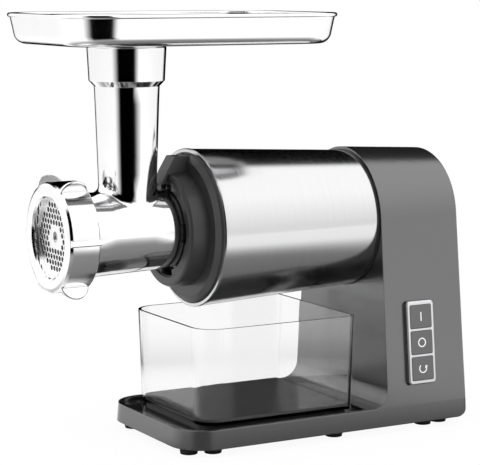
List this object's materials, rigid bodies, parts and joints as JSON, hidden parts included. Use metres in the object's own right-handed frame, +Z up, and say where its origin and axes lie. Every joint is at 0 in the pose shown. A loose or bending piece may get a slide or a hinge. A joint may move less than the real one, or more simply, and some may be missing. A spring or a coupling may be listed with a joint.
{
  "type": "electric meat grinder",
  "caption": "Electric meat grinder with a bayonet head and auger, a lift-off pan, a drum drive with a geared motor and a slide-out storage box.",
  "frame": {"origin": "on the table, under the middle of the machine's box", "axes": "+Z up, -Y towards the meat outlet, +X towards the side with the buttons"},
  "size_m": [0.15, 0.3395, 0.3246],
  "materials": {
    "gunmetal": "satin gunmetal lacquer",
    "brushed_steel": "brushed round the drum",
    "bright_trim": "polished",
    "dark_trim": "dark satin",
    "polished_metal": "mirror polished",
    "cast_aluminium": "satin",
    "pan_steel": "polished stainless",
    "knife_steel": "ground",
    "black_plastic": "fine texture",
    "gloss_black": "gloss",
    "clear_plastic": "clear",
    "rubber": "matt",
    "steel": "plain",
    "bronze": "sintered",
    "copper": "enamelled",
    "carbon": "matt",
    "circuit_board": "lacquered",
    "gear_plastic": "nylon",
    "bezel_silver": "satin",
    "button_grey": "satin"
  },
  "bodies": {
    "housing": {"body_shell": "gunmetal", "base_cover": "black_plastic", "base_inlay": "gloss_black", "rubber_feet": "rubber", "base_screws": "steel", "drum_shell": "brushed_steel", "front_trim_ring": "bright_trim", "rear_trim_ring": "dark_trim", "front_panel": "black_plastic", "head_socket": "black_plastic", "socket_screws": "steel", "gearbox_housing": "black_plastic", "gearbox_cover": "black_plastic", "gearbox_screws": "steel", "output_bush": "bronze", "countershaft_bushes": "bronze", "motor_stator": "steel", "field_coils": "copper", "motor_cradle": "steel", "motor_end_bracket": "steel", "motor_bearings": "steel", "brush_holders": "bronze", "carbon_brushes": "carbon", "control_board": "circuit_board", "board_posts": "black_plastic", "board_components": "black_plastic", "microswitches": "black_plastic", "switch_board": "circuit_board", "button_bezel": "bezel_silver", "cable_gland": "black_plastic", "latch_spring": "steel"},
    "rotor": {"rotor_shaft": "steel", "armature_core": "steel", "armature_windings": "copper", "commutator": "copper", "cooling_fan": "black_plastic", "motor_pinion": "steel"},
    "countershaft": {"countershaft": "steel", "countershaft_gear": "gear_plastic", "countershaft_pinion": "steel"},
    "drive_line": {"output_gear": "gear_plastic", "output_shaft": "steel", "auger": "cast_aluminium", "knife": "knife_steel"},
    "head": {"head_casting": "polished_metal", "head_bush": "bronze", "plate_key_pin": "steel"},
    "plate": {"cutting_plate": "polished_metal"},
    "nut": {"ring_nut": "polished_metal"},
    "pan": {"food_pan": "pan_steel", "pan_neck": "pan_steel"},
    "box": {"storage_box": "clear_plastic", "storage_box_liner": "gloss_black"},
    "latch": {"release_latch": "black_plastic"},
    "on": {"on_button": "button_grey"},
    "off": {"off_button": "button_grey"},
    "reverse": {"reverse_button": "button_grey"}
  },
  "joints": [
    {"name": "rotor_spin", "type": "hinge", "parent": "housing", "child": "rotor", "pos_m": [0, 0.03675, 0.162], "axis": [0, 1, 0], "continuous": true},
    {"name": "countershaft_spin", "type": "hinge", "parent": "housing", "child": "countershaft", "pos_m": [0, -0.02325, 0.1335], "axis": [0, 1, 0], "continuous": true},
    {"name": "drive_spin", "type": "hinge", "parent": "housing", "child": "drive_line", "pos_m": [0, -0.04325, 0.162], "axis": [0, 1, 0], "continuous": true},
    {"name": "head_twist", "type": "hinge", "parent": "housing", "child": "head", "pos_m": [0, -0.06325, 0.162], "axis": [0, 1, 0], "range_deg": [0, 25]},
    {"name": "plate_slide", "type": "slide", "parent": "head", "child": "plate", "axis": [0, -1, 0], "range_m": [0, 0.008]},
    {"name": "nut_turn", "type": "hinge", "parent": "plate", "child": "nut", "pos_m": [0, -0.15325, 0.162], "axis": [0, -1, 0], "range_deg": [0, 720]},
    {"name": "pan_lift", "type": "slide", "parent": "head", "child": "pan", "axis": [0, 0, 1], "range_m": [0, 0.06]},
    {"name": "box_slide", "type": "slide", "parent": "housing", "child": "box", "axis": [0, -1, 0], "range_m": [0, 0.16]},
    {"name": "latch_press", "type": "slide", "parent": "housing", "child": "latch", "axis": [0, 0, -1], "range_m": [0, 0.002], "stiffness_N_per_m": 600, "springref_m": -0.003, "deforming": ["latch_spring"]},
    {"name": "on_press", "type": "slide", "parent": "housing", "child": "on", "axis": [-0.9953, 0, -0.0971], "range_m": [0, 0.0015], "stiffness_N_per_m": 500, "springref_m": -0.002},
    {"name": "off_press", "type": "slide", "parent": "housing", "child": "off", "axis": [-0.9953, 0, -0.0971], "range_m": [0, 0.0015], "stiffness_N_per_m": 500, "springref_m": -0.002},
    {"name": "reverse_press", "type": "slide", "parent": "housing", "child": "reverse", "axis": [-0.9953, 0, -0.0971], "range_m": [0, 0.0015], "stiffness_N_per_m": 500, "springref_m": -0.002}
  ],
  "couplings": [
    {"joint": "countershaft_spin", "follows": "rotor_spin", "ratio": -0.16327},
    {"joint": "drive_spin", "follows": "rotor_spin", "ratio": 0.050669},
    {"joint": "plate_slide", "follows": "nut_turn", "m_per_rad": 0.00063662}
  ]
}
